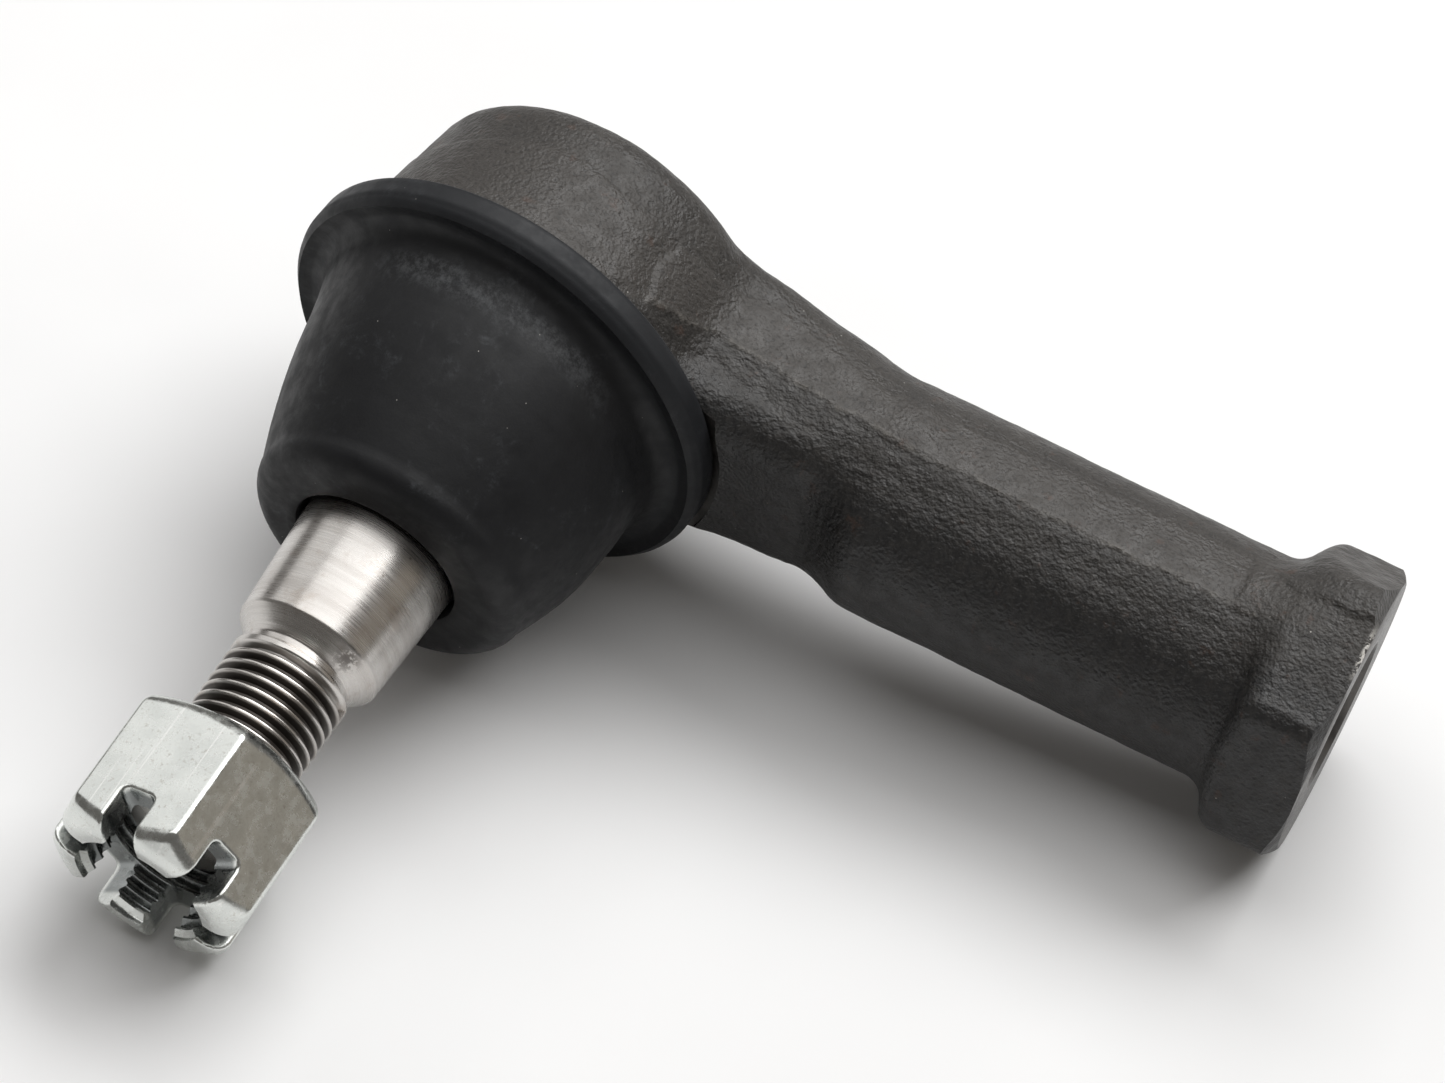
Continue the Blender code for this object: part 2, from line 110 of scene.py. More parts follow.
# ---- every thread ----
THREAD_ROWS = 12  # rows of points in each turn
THREAD_ROOT, THREAD_FLANKS = 0.18, 0.68  # shares of the pitch
THREAD_RUNOUT = 0.9  # the thread fades out over this length at its ends
THREAD_GAP, THREAD_SQUEEZE = 0.02, 0.999  # keep its rows between the rings at its ends

# ---- boot ----
RIM_RADIUS, RIM_BACK, RIM_FRONT = 22.4, 4.65, 8.0
BELL_BASE_RADIUS, BELL_TOP_RADIUS = 18.2, 14.2
BOOT_END, BOOT_END_ROUND, BOOT_HOLE_RADIUS, BOOT_WALL = 29.4, 2.6, 8.4, 2.2
LIP_BACK = 23.4
RING_ROOM = 1.9  # between the boot's seat and its flange, for a ring
BOOT_SWELL, BOOT_LEAN = 0.006, 0.45  # uneven swelling of the bell, and its lean in mm

# ---- castle nut ----
NUT_FLATS, NUT_BASE, NUT_HEIGHT = 18.7, 54.2, 15.0
NUT_SLOT_WIDTH, NUT_SLOT_DEPTH, NUT_SLOT_ROUND = 3.5, 4.7, 0.8
NUT_CORNER_ROUND, NUT_THREAD_DEPTH, NUT_THREAD_PLAY = 0.6, 0.62, 0.06

# ---- grid steps of the two pieces made from distance fields: quick, full ----
FORGING_GRID, NUT_GRID = (0.6, 0.33), (0.34, 0.19)


# ---- frames ----
def axis_frame(origin, direction, towards):
    """Axes in metres at origin, Z along direction and X as close to towards as it can be."""
    z = Vector(direction).normalized()
    x = (Vector(towards) - z * z.dot(towards)).normalized()
    return Matrix.Translation(origin) @ Matrix((x, z.cross(x), z)).transposed().to_4x4()


def part_frames():
    """Part, socket, stud and nut axes, from the record's joints and mounts."""
    ball = Vector(JOINTS["bearing_turn"]["pos_m"])
    arm = Vector(MOUNTS["jam_nut_face"]["axis"]).normalized()
    socket_axis = Vector(JOINTS["bearing_turn"]["axis"])
    stud_axis = Vector(JOINTS["stud_spin"]["axis"])
    up = socket_axis.cross(arm).normalized()
    part = Matrix((arm, up.cross(arm), up)).transposed().to_4x4()
    part = Matrix.Translation(ball) @ part
    flat = Vector(MOUNTS["nut_wrench_flat"]["axis"])
    nut = axis_frame(ball, stud_axis, flat) @ Matrix.Rotation(math.radians(30), 4, "Z")
    return part, axis_frame(ball, socket_axis, arm), axis_frame(ball, stud_axis, arm), nut


PART, SOCKET, STUD, NUT = part_frames()
ARM = PART @ Matrix.Rotation(math.radians(90), 4, "Y") @ Matrix.Rotation(math.radians(90), 4, "Z")


ARM_FLAT = PART.to_3x3().inverted() @ Vector(MOUNTS["arm_wrench_flat"]["axis"])
# where a corner of the arm's hexagon is, in radians from part Y towards part Z
HEX_TURN = math.atan2(ARM_FLAT.z, ARM_FLAT.y) + math.radians(30)


# ---- mesh tools ----
def scaled(frame_matrix):
    """The frame as a transform that also takes millimetres to metres."""
    return frame_matrix @ Matrix.Scale(MM, 4)


def new_piece(name, verts, faces, place):
    """A mesh object at the scene's origin, made from points in the axes of place."""
    mesh = bpy.data.meshes.new(name)
    mesh.from_pydata([tuple(v) for v in verts], [], faces)
    mesh.transform(scaled(place))
    bm = bmesh.new()
    bm.from_mesh(mesh)
    bmesh.ops.recalc_face_normals(bm, faces=bm.faces)
    bm.to_mesh(mesh)
    bm.free()
    piece = bpy.data.objects.new(name, mesh)
    bpy.context.scene.collection.objects.link(piece)
    return piece


def ring_faces(rings, segments):
    """Faces between each ring of point numbers and the next; a ring of one point is a pole."""
    faces = []
    for low, high in zip(rings, rings[1:]):
        for i in range(segments):
            j = (i + 1) % segments
            if len(low) == 1:
                faces.append((low[0], high[i], high[j]))
            elif len(high) == 1:
                faces.append((low[i], low[j], high[0]))
            else:
                faces.append((low[i], low[j], high[j], high[i]))
    return faces


def add_rings(verts, outline, segments):
    """Add a ring of points for each (radius, height); gives each ring's point numbers."""
    rings = []
    for radius, height in outline:
        first, count = len(verts), segments if radius > 0.0 else 1
        for i in range(count):
            turn = math.tau * i / segments
            verts.append((radius * math.cos(turn), radius * math.sin(turn), height))
        rings.append(list(range(first, first + count)))
    return rings


def revolved(name, outline, segments, place):
    """Turn an outline of (radius, height) about Z."""
    verts = []
    rings = add_rings(verts, outline, segments)
    if outline[0][0] > 0.0:
        rings.append(rings[0])
    return new_piece(name, verts, ring_faces(rings, segments), place)


def arc(centre, radius, start, end, steps):
    """Points of an arc in an outline; angles in degrees from the radial direction."""
    turns = [math.radians(start + (end - start) * i / steps) for i in range(steps + 1)]
    return [(centre[0] + radius * math.cos(t), centre[1] + radius * math.sin(t)) for t in turns]


def rounded_outline(points, rounds):
    """An outline whose inner points are rounded off; rounds gives each point's radius."""
    smooth = []
    for k, (point, radius) in enumerate(zip(points, rounds)):
        here = Vector(point)
        if radius <= 0.0 or k in (0, len(points) - 1):
            smooth.append(tuple(point))
            continue
        back = (Vector(points[k - 1]) - here).normalized()
        ahead = (Vector(points[k + 1]) - here).normalized()
        half = back.angle(ahead) / 2
        start, end = here + back * radius / math.tan(half), here + ahead * radius / math.tan(half)
        centre = here + (back + ahead).normalized() * radius / math.sin(half)
        for share in (0.0, 0.25, 0.5, 0.75, 1.0):
            spoke = (start - centre).lerp(end - centre, share).normalized()
            smooth.append(tuple(centre + spoke * radius))
    return smooth


def filled_in(outline, spacing):
    """The outline with extra points, so that none are further apart than spacing."""
    dense = [outline[0]]
    for a, b in zip(outline, outline[1:]):
        steps = max(1, math.ceil(math.dist(a, b) / spacing))
        for i in range(1, steps + 1):
            dense.append((a[0] + (b[0] - a[0]) * i / steps, a[1] + (b[1] - a[1]) * i / steps))
    return dense


def thread_crest(phase):
    """Height of a thread at a phase of its turn, 0 at the root and 1 at the crest."""
    return min(1.0, max(0.0, (abs(2 * phase - 1) - THREAD_ROOT) / THREAD_FLANKS))


def threaded(name, before, radius, after, depth, pitch, segments, place):
    """A turned piece with a real helical thread between its two outlines.

    The outlines are (radius, height) points; before ends and after starts on the thread's radius.
    """
    low, high = before[-1][1], after[0][1]
    rows = int(THREAD_ROWS * ((high - low) / pitch - 1))
    verts = []
    lower, upper = add_rings(verts, before, segments), add_rings(verts, after, segments)
    start = len(verts)
    for row in range(rows + 1):
        crest = thread_crest(row / THREAD_ROWS % 1.0)
        for i in range(segments):
            turns = row / THREAD_ROWS + i / segments
            height = low + THREAD_GAP + pitch * turns * THREAD_SQUEEZE
            fade = min(1.0, (height - low) / THREAD_RUNOUT, (high - height) / THREAD_RUNOUT)
            reach = radius - depth * (1 - crest) * max(0.0, fade)
            turn = math.tau * i / segments
            verts.append((reach * math.cos(turn), reach * math.sin(turn), height))

    def helix(row, i):
        """Number of a thread point; the helix goes on a whole turn of rows higher."""
        return start + (row + THREAD_ROWS * (i // segments)) * segments + i % segments

    last = segments - 1
    faces = ring_faces(lower, segments) + ring_faces(upper, segments)
    for row in range(rows):
        for i in range(segments):
            if i < last or row + 1 + THREAD_ROWS <= rows:
                faces.append((helix(row, i), helix(row, i + 1), helix(row + 1, i + 1),
                              helix(row + 1, i)))
    bottom, top = lower[-1], upper[0]
    for i in range(last):
        faces.append((bottom[i], bottom[i + 1], helix(0, i + 1), helix(0, i)))
        faces.append((helix(rows, i), helix(rows, i + 1), top[i + 1], top[i]))
    faces.append([bottom[last], bottom[0]] + [helix(row, 0) for row in range(THREAD_ROWS + 1)]
                 + [helix(0, last)])
    faces.append([top[0], top[last]] + [helix(rows - k, last) for k in range(THREAD_ROWS + 1)]
                 + [helix(rows, 0)])
    return new_piece(name, verts, faces, place)


def cut(piece, *cutters):
    """Cut closed cutters out of a piece, for good, and remove them."""
    for cutter in cutters:
        modifier = piece.modifiers.new(cutter.name, "BOOLEAN")
        modifier.object = cutter
        modifier.operation = "DIFFERENCE"
        modifier.solver = "MANIFOLD"
        bpy.context.view_layer.update()
        graph = bpy.context.evaluated_depsgraph_get()
        mesh = bpy.data.meshes.new_from_object(piece.evaluated_get(graph))
        piece.modifiers.clear()
        piece.data = mesh
        bpy.data.objects.remove(cutter)


def in_millimetres(points, place):
    """Points of the scene in millimetres in the axes of place."""
    inverse = np.array(scaled(place).inverted())
    return points @ inverse[:3, :3].T + inverse[:3, 3]


def points_in(piece, place):
    """The piece's points in millimetres in the axes of place, as an array."""
    points = np.zeros(len(piece.data.vertices) * 3)
    piece.data.vertices.foreach_get("co", points)
    return in_millimetres(points.reshape(-1, 3), place)


def shade(piece, sharp_angle):
    """Smooth shading, but for edges sharper than an angle in degrees."""
    piece.data.shade_smooth()
    piece.data.set_sharp_from_angle(angle=math.radians(sharp_angle))


def store(piece, name, values):
    """Keep a number or a place at each point, for a material to read."""
    values = np.asarray(values, np.float32)
    kind, key = ("FLOAT", "value") if values.ndim == 1 else ("FLOAT_VECTOR", "vector")
    attribute = piece.data.attributes.new(name, kind, "POINT")
    attribute.data.foreach_set(key, values.ravel())


def dressed(piece, body, node, place, materials, sharp_angle=35.0):
    """Shade a finished piece, give it its materials and let it stand for its CAD node."""
    shade(piece, sharp_angle)
    store(piece, "place", points_in(piece, place))
    piece.data.materials.clear()
    for item in materials:
        piece.data.materials.append(item)
    plain = np.zeros(len(piece.data.polygons), np.int32)
    piece.data.polygons.foreach_set("material_index", plain)
    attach(piece, body)
    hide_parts(node)
    return piece


# ---- housing: the forging's shape ----
def smooth_step(value, low, high):
    """0 below low, 1 above high, and eased between them."""
    t = np.clip((value - low) / (high - low), 0.0, 1.0)
    return t * t * (3 - 2 * t)


def both(a, b, round_radius):
    """Distance to what two shapes share, with a rounded edge."""
    outside = np.hypot(np.maximum(a + round_radius, 0), np.maximum(b + round_radius, 0))
    return np.minimum(np.maximum(a, b), -round_radius) + outside


def either(a, b, fillet):
    """Distance to two shapes together, with a fillet between them."""
    h = np.clip(0.5 + 0.5 * (b - a) / fillet, 0, 1)
    return b * (1 - h) + a * h - fillet * h * (1 - h)


def web_sizes(x):
    """Depths, half height and corner rounds of the web at x."""
    stations = [x + shift for shift in (-WEB_EASE, 0, WEB_EASE)]
    xs, *columns = WEB_SECTIONS.T
    return [sum(np.interp(station, xs, column) for station in stations) / 3
            for column in columns]


def head_distance(p):
    """The round head, drafted towards its back."""
    lean = np.array((SOCKET.to_3x3().inverted() @ PART.to_3x3()))
    q = p @ lean.T
    radius, height = np.hypot(q[:, 0], q[:, 1]), q[:, 2]
    draft = (HEAD_RADIUS - HEAD_BACK_RADIUS) / (HEAD_FRONT - HEAD_BACK)
    side = radius - (HEAD_RADIUS + draft * (height - HEAD_FRONT))
    return both(both(side, HEAD_BACK - height, HEAD_EDGE_ROUND), height - HEAD_FRONT, 0.4)


def arm_distance(p):
    """Flattened web that turns into a round barrel."""
    x, y, z = p.T
    front, back, half_height, front_round, back_round = web_sizes(x)
    web_share = 1 - smooth_step(x, 30.0, 38.0)
    drafted = half_height - WEB_DRAFT * web_share * np.abs(y - WEB_DRAFT_MIDDLE)
    depth = np.where(y > 0, back, front)
    corner = np.where(y > 0, back_round, front_round)
    across, along = np.abs(y) - depth + corner, np.abs(z) - drafted + corner
    inner = np.minimum(np.maximum(across, along), 0)
    block = np.hypot(np.maximum(across, 0), np.maximum(along, 0)) + inner - corner
    barrel = np.hypot(y, z) - ARM_RADIUS
    section = block + (barrel - block) * smooth_step(x, BARREL_START, BARREL_FULL)
    return both(section, np.maximum(x - ARM_LENGTH - 1, -x), 0.1)


def hexagon_distance(x, y, flats, corner_round):
    """A hexagon with a corner on the X axis and rounded corners."""
    fold = np.abs((np.arctan2(y, x) + math.pi / 6) % (math.pi / 3) - math.pi / 6)
    reach = np.hypot(x, y)
    u, v = reach * np.cos(fold), reach * np.sin(fold)
    corner = (flats / 2 - corner_round) / math.cos(math.pi / 6)
    flat = u * math.cos(math.pi / 6) + v * 0.5 - flats / 2
    rounded = np.hypot(u - corner, v) - corner_round
    return np.where(v < (u - corner) * math.tan(math.pi / 6), rounded, flat)


def hex_distance(p):
    """The wrench hexagon, its corners rounded and its inner end drafted.

    Above and below, where the flash was trimmed, the inner end starts sooner and slants more.
    """
    x, y, z = p.T
    reach = np.hypot(y, z)
    turn_y = y * math.cos(HEX_TURN) + z * math.sin(HEX_TURN)
    turn_z = z * math.cos(HEX_TURN) - y * math.sin(HEX_TURN)
    section = hexagon_distance(turn_y, turn_z, HEX_FLATS, HEX_CORNER_ROUND)
    up = np.degrees(np.arctan2(np.abs(z), y))
    trimmed = np.exp(-((up - 84) / 22) ** 2)  # most at 84 degrees from part Y
    slant = 0.35 + 1.7 * trimmed
    start = HEX_START - 2.2 * trimmed - x + slant * (reach - ARM_RADIUS)
    start /= np.hypot(1, slant)
    return both(both(section, start, 1.3), x - ARM_LENGTH - 1, 0.1)


def land_cut(p):
    """Flats where the flash was trimmed off the barrel, above and below."""
    x, y, z = p.T
    tilt, depth = math.radians(9.6), 0.32
    flat = np.abs(z) * math.cos(tilt) + y * math.sin(tilt) - (ARM_RADIUS - depth)
    return flat - 2.0 * (1 - smooth_step(x, 33, 40)) - 4.0 * smooth_step(x, 70, 73)


def forging_distance(p):
    arm = both(arm_distance(p), land_cut(p), 0.5)
    arm = either(arm, hex_distance(p), HEX_FILLET)
    return either(head_distance(p), arm, HEAD_FILLET)


def slope(field, p, step=0.02):
    """Gradient of a distance field at each point."""
    rise = [field(p + step * axis) - field(p - step * axis) for axis in np.eye(3)]
    return np.stack(rise, 1) / (2 * step)


def surface_net(field, low, high, step):
    """Points and quads on the zero level of field, one point in each grid cell it crosses."""
    axes = [np.arange(a, b, step) for a, b in zip(low, high)]
    shape = [len(axis) for axis in axes]
    value = np.empty(shape)
    for i, x in enumerate(axes[0]):
        y, z = np.meshgrid(axes[1], axes[2], indexing="ij")
        points = np.stack([np.full(y.size, x), y.ravel(), z.ravel()], 1)
        value[i] = field(points).reshape(shape[1:])
    inside = value < 0
    corners = [(i, j, k) for i in (0, 1) for j in (0, 1) for k in (0, 1)]
    cells = tuple(n - 1 for n in shape)

    def corner_of(grid, c):
        return grid[c[0]:c[0] + cells[0], c[1]:c[1] + cells[1], c[2]:c[2] + cells[2]]

    count = sum(corner_of(inside, c).astype(np.int8) for c in corners)
    mixed = (count > 0) & (count < 8)
    number = np.full(cells, -1)
    number[mixed] = np.arange(mixed.sum())
    cell = np.argwhere(mixed)
    total, crossings = np.zeros((len(cell), 3)), np.zeros(len(cell))
    for a in corners:
        for b in corners:
            if sum(abs(m - n) for m, n in zip(a, b)) != 1 or a > b:
                continue
            va, vb = value[tuple((cell + a).T)], value[tuple((cell + b).T)]
            crossed = (va < 0) != (vb < 0)
            share = np.where(crossed, va / np.where(va == vb, 1.0, va - vb), 0.0)
            place = np.array(a) + share[:, None] * (np.array(b) - np.array(a))
            total += place * crossed[:, None]
            crossings += crossed
    points = np.array(low) + step * (cell + total / crossings[:, None])
    quads = []
    for axis in range(3):
        ahead = np.eye(3, dtype=int)[axis]
        one, two = np.eye(3, dtype=int)[(axis + 1) % 3], np.eye(3, dtype=int)[(axis + 2) % 3]
        start = inside[tuple(slice(1, n - 1) for n in shape)]
        end = inside[tuple(slice(1 + d, n - 1 + d) for n, d in zip(shape, ahead))]
        for flip in (False, True):
            edge = np.argwhere((start & ~end) if flip else (~start & end)) + 1
            ring = [number[tuple((edge - shift).T)] for shift in (one + two, two, 0 * one, one)]
            quads.append(np.stack(ring if not flip else ring[::-1], 1))
    return points, np.concatenate(quads)


def netted(name, field, low, high, step, place, relief=None):
    """A piece from a distance field; relief gives how far its skin stands out at each point."""
    points, quads = surface_net(field, low, high, step)
    for _ in range(3):
        gradient = slope(field, points)
        size = np.maximum((gradient ** 2).sum(1), 0.2)
        points -= gradient * (field(points) / size)[:, None]
    if relief is not None:
        normal = slope(field, points)
        normal /= np.linalg.norm(normal, axis=1)[:, None]
        points += normal * relief(points)[:, None]
    return new_piece(name, points, quads.tolist(), place)


# ---- housing: the forging's skin ----
def noise_at(points, size, seed):
    """Smooth noise from -1 to 1 whose bumps are about size across."""
    shift = Vector((seed * 17.3, seed * 5.1, seed * 9.7))
    return np.array([noise.noise(Vector(p) / size + shift) for p in points]) * 1.6


def land_share(p):
    """1 on the trimmed flash land, 0 off it, and how far below its lower edge a point is."""
    x, y = p[:, 0], p[:, 1]
    low, high = np.interp(x, *LAND_LOW.T), np.interp(x, *LAND_HIGH.T)
    wander = 0.25 * np.sin(x * 0.9) * np.sin(x * 0.31 + 1.0)
    below = low + wander - y
    share = smooth_step(-below, -0.15, 0.15) * (1 - smooth_step(y, high - 0.1, high + 0.35))
    share *= 1 - smooth_step(x, 71.0, 74.5)
    return share, below


def grain_height(p, share, below):
    """Lumps, dents and grain; the grain is lowest on the land and highest just below it."""
    pebbled = smooth_step(below, -0.1, 0.3) * (1 - smooth_step(below, 3.0, 8.0))
    rough = np.where(share > 0.5, 0.3, 0.5 + 0.8 * pebbled)
    lumps, dents, grain = noise_at(p, 9.0, 1), noise_at(p, 3.2, 2), noise_at(p, 1.1, 3)
    return 0.05 * lumps + 0.03 * dents + 0.05 * rough * grain


def fall_depth(x, below, on_arm):
    """The arm's skin falls away below the land, deepest on the web."""
    fall = 0.08 + 0.10 * (1 - smooth_step(x, 24.0, 44.0))
    return fall * on_arm * np.clip(below, 0, 3) * (1 - smooth_step(below, 2.0, 7.0))


def burr_height(p, below, on_arm):
    """A broken ridge along the land's lower edge."""
    burr = np.exp(-((below + 0.15) / 0.22) ** 2) * on_arm
    return BURR_HEIGHT * burr * (1 + 0.9 * noise_at(p, 1.7, 4))


def crown_height(x, y):
    """The hexagon's skin rises behind a wavy line along it."""
    on_hex = smooth_step(x, 72.0, 75.0)
    crown = y - np.interp(x, (71.0, 75.5, 83.0), (5.2, 1.4, 1.0)) - 0.3 * np.sin(x)
    rise = smooth_step(crown, -0.4, 0.5) * (1 - smooth_step(crown, 2.0, 6.0))
    return HEX_CROWN_HEIGHT * on_hex * rise


def lip_height(p):
    """A ragged lip along the hexagon's upper edge on the stud's side."""
    x, y, z = p.T
    lip = np.exp(-((y + 9.9) / 0.4) ** 2) * (z > 0) * smooth_step(x, 74.3, 75.3)
    ragged = 1 + 0.8 * noise_at(p, 1.4, 5)
    return HEX_LIP_HEIGHT * lip * ragged * (1 - smooth_step(x, 81.0, 82.5))


def head_step_depth(y, reach, angle, share):
    """A step across the head's land; angle is in degrees from the arm."""
    on_head = (1 - smooth_step(reach, 20.0, 20.6)) * (y < 5.5) * (y > -4)
    step_at = 56.3 + 1.1 * np.sin(y * 0.9 + 0.6)
    drop = smooth_step(angle, step_at, step_at + 1.2)
    drop *= 1 - smooth_step(angle, step_at + 1.2, step_at + 11.0)
    return HEAD_STEP_DEPTH * on_head * share * drop


def pebble_height(p, reach, angle):
    """A patch of coarse pebbles on the head, beside the boot."""
    spot = np.exp(-(((angle - 67.0) / 6.0) ** 2 + ((p[:, 1] + 3.2) / 2.4) ** 2))
    return PEBBLE_HEIGHT * spot * (reach > 19.0) * noise_at(p, 0.9, 6)


def skin_depth(p):
    """How far the forging's real skin stands out of its plain shape."""
    x, y, z = p.T
    share, below = land_share(p)
    on_arm = smooth_step(x, 9.0, 13.0) * (1 - smooth_step(x, 69.0, 72.0))
    reach, angle = np.hypot(x, z), np.degrees(np.arctan2(np.abs(z), x))
    depth = grain_height(p, share, below)
    depth += LAND_HEIGHT * share
    depth -= fall_depth(x, below, on_arm)
    depth += burr_height(p, below, on_arm)
    depth += crown_height(x, y)
    depth += lip_height(p)
    depth -= head_step_depth(y, reach, angle, share)
    depth += pebble_height(p, reach, angle)
    return depth


def forging():
    step = FORGING_GRID[1]
    low, high = (-23.0, -16.5, -21.5), (ARM_LENGTH + 2.5, 16.5, 21.5)
    return netted("housing_forging", forging_distance, low, high, step, PART, skin_depth)


def seat_relief_cutter():
    """Turns the boot's seat on the front of the head, and a step into the arm beside it."""
    top = HEAD_FRONT + 14.0
    outline = [(BOOT_SEAT_RADIUS, BOOT_SEAT_BACK), (SEAT_RELIEF_RADIUS, BOOT_SEAT_BACK),
               (SEAT_RELIEF_RADIUS, top), (BOOT_SEAT_RADIUS, top)]
    return revolved("seat_relief_cutter", outline, 160, SOCKET)


def socket_cutter():
    """The bore, the cover plate's pocket and the rolled lip's opening behind it."""
    back = HEAD_BACK - 1.0
    outline = [
        (0.0, back), (LIP_RADIUS + 0.9, back), (LIP_RADIUS + 0.4, HEAD_BACK + 0.1),
        (LIP_RADIUS, HEAD_BACK + 0.5), (LIP_RADIUS, COVER_BACK),
        (COVER_POCKET_RADIUS, COVER_BACK), (COVER_POCKET_RADIUS, COVER_LEDGE),
        (BORE_RADIUS, COVER_LEDGE), (BORE_RADIUS, BORE_FRONT), (MOUTH_RADIUS, BORE_FRONT),
        (MOUTH_RADIUS, HEAD_FRONT - 0.5), (MOUTH_RADIUS + 0.5, HEAD_FRONT),
        (MOUTH_RADIUS + 1.5, HEAD_FRONT + 1.0), (0.0, HEAD_FRONT + 1.0)]
    return revolved("socket_cutter", outline, 128, SOCKET)


def arm_end_cutter():
    """Faces and chamfers the hexagon's end and cuts the tapped bore, as one turned shape."""
    end, major = ARM_LENGTH - THREAD_BORE_DEPTH, THREAD_BORE_MAJOR
    mouth = ARM_LENGTH - (COUNTERSINK_RADIUS - major)
    chamfer, outer = ARM_LENGTH - HEX_END_CHAMFER, HEX_END_RADIUS + 5.0
    before = [(0.0, end - 3.2), (major - 1.1, end), (major, end + 0.5)]
    after = [(major, mouth), (COUNTERSINK_RADIUS, ARM_LENGTH), (HEX_END_RADIUS, ARM_LENGTH),
             (HEX_END_RADIUS + 3.2, chamfer), (outer, chamfer),
             (outer, ARM_LENGTH + 4.0), (0.0, ARM_LENGTH + 4.0)]
    return threaded("arm_end_cutter", before, major, after, major - THREAD_BORE_RADIUS,
                    THREAD_BORE_PITCH, 96, ARM)


def is_machined(points_part, points_socket):
    """True where a face centre lies on a surface that a cutter made."""
    x, y, z = points_part.T
    reach = np.hypot(y, z)
    radius, height = np.hypot(points_socket[:, 0], points_socket[:, 1]), points_socket[:, 2]
    bore = (radius < COVER_POCKET_RADIUS + 0.1) & (height > HEAD_BACK + 0.02)
    seat = (height > BOOT_SEAT_BACK - 0.02) & (radius < SEAT_RELIEF_RADIUS + 0.02)
    arm_bore = (x > ARM_LENGTH - THREAD_BORE_DEPTH - 4) & (reach < COUNTERSINK_RADIUS + 0.1)
    return bore | seat | arm_bore | (x > ARM_LENGTH - 0.05)


def housing(steel, machined):
    """The forging with its turned and tapped faces, and values for its skin's material."""
    body = forging()
    cut(body, seat_relief_cutter(), socket_cutter(), arm_end_cutter())
    dressed(body, "housing", "housing", PART, [steel, machined])
    places = points_in(body, PART)
    share, below = land_share(places)
    on_arm = smooth_step(places[:, 0], 8.0, 12.0)
    # masks for the skin's material: the land for its painted sheen, the bands below it for painted shade, the burr
    # for a painted highlight
    store(body, "trimmed", share)
    store(body, "painted_shade_below_land", smooth_step(below, -0.1, 0.5) * on_arm)
    store(body, "ridge", np.exp(-((below + 0.12) / 0.3) ** 2) * on_arm * share.round())
    store(body, "painted_shade_side", smooth_step(below, 2.0, 7.0) * on_arm)
    centres = np.zeros(len(body.data.polygons) * 3)
    body.data.polygons.foreach_get("center", centres)
    centres = centres.reshape(-1, 3)
    made = is_machined(in_millimetres(centres, PART), in_millimetres(centres, SOCKET))
    body.data.polygons.foreach_set("material_index", made.astype(np.int32))
    return body


# ---- ball stud ----
def ball_stud(steel):
    """Ball, neck, taper, undercut and thread in one turned piece, with its cotter hole."""
    collar = TAPER_END_RADIUS + TAPER_SLOPE * (TAPER_END - TAPER_START)
    neck = math.sqrt(BALL_RADIUS ** 2 - NECK_RADIUS ** 2)
    pole = -math.degrees(math.asin(BALL_FLAT / BALL_RADIUS))
    ball = arc((0.0, 0.0), BALL_RADIUS, pole, math.degrees(math.asin(neck / BALL_RADIUS)), 40)
    shank = [ball[-1], (NECK_RADIUS, 13.0), (collar - 0.6, TAPER_START - 3.0),
             (collar, TAPER_START), (TAPER_END_RADIUS, TAPER_END),
             (THREAD_RADIUS - 0.1, CHAMFER_END),
             (UNDERCUT_RADIUS, CHAMFER_END + 0.5), (UNDERCUT_RADIUS, UNDERCUT_END - 0.5)]
    shank = rounded_outline(shank, [0, 2.0, 1.5, 1.5, 0.55, 0.25, 0.3, 0])
    before = [(0.0, -BALL_FLAT)] + ball + shank[1:] + [(THREAD_RADIUS, UNDERCUT_END)]
    after = [(THREAD_RADIUS, STUD_TIP - 0.9), (THREAD_RADIUS - 0.9, STUD_TIP), (0.0, STUD_TIP)]
    stud = threaded("stud", before, THREAD_RADIUS, after, THREAD_DEPTH, THREAD_PITCH, 96, STUD)
    across = STUD @ Matrix.Translation((0, 0, COTTER_HOLE_POSITION * MM))
    hole = [(0.0, -9.0), (COTTER_HOLE_RADIUS, -9.0), (COTTER_HOLE_RADIUS, 9.0), (0.0, 9.0)]
    cut(stud, revolved("cotter_hole", hole, 32, across @ Matrix.Rotation(math.pi / 2, 4, "Y")))
    return dressed(stud, "stud", "ball_stud", STUD, [steel], 40.0)


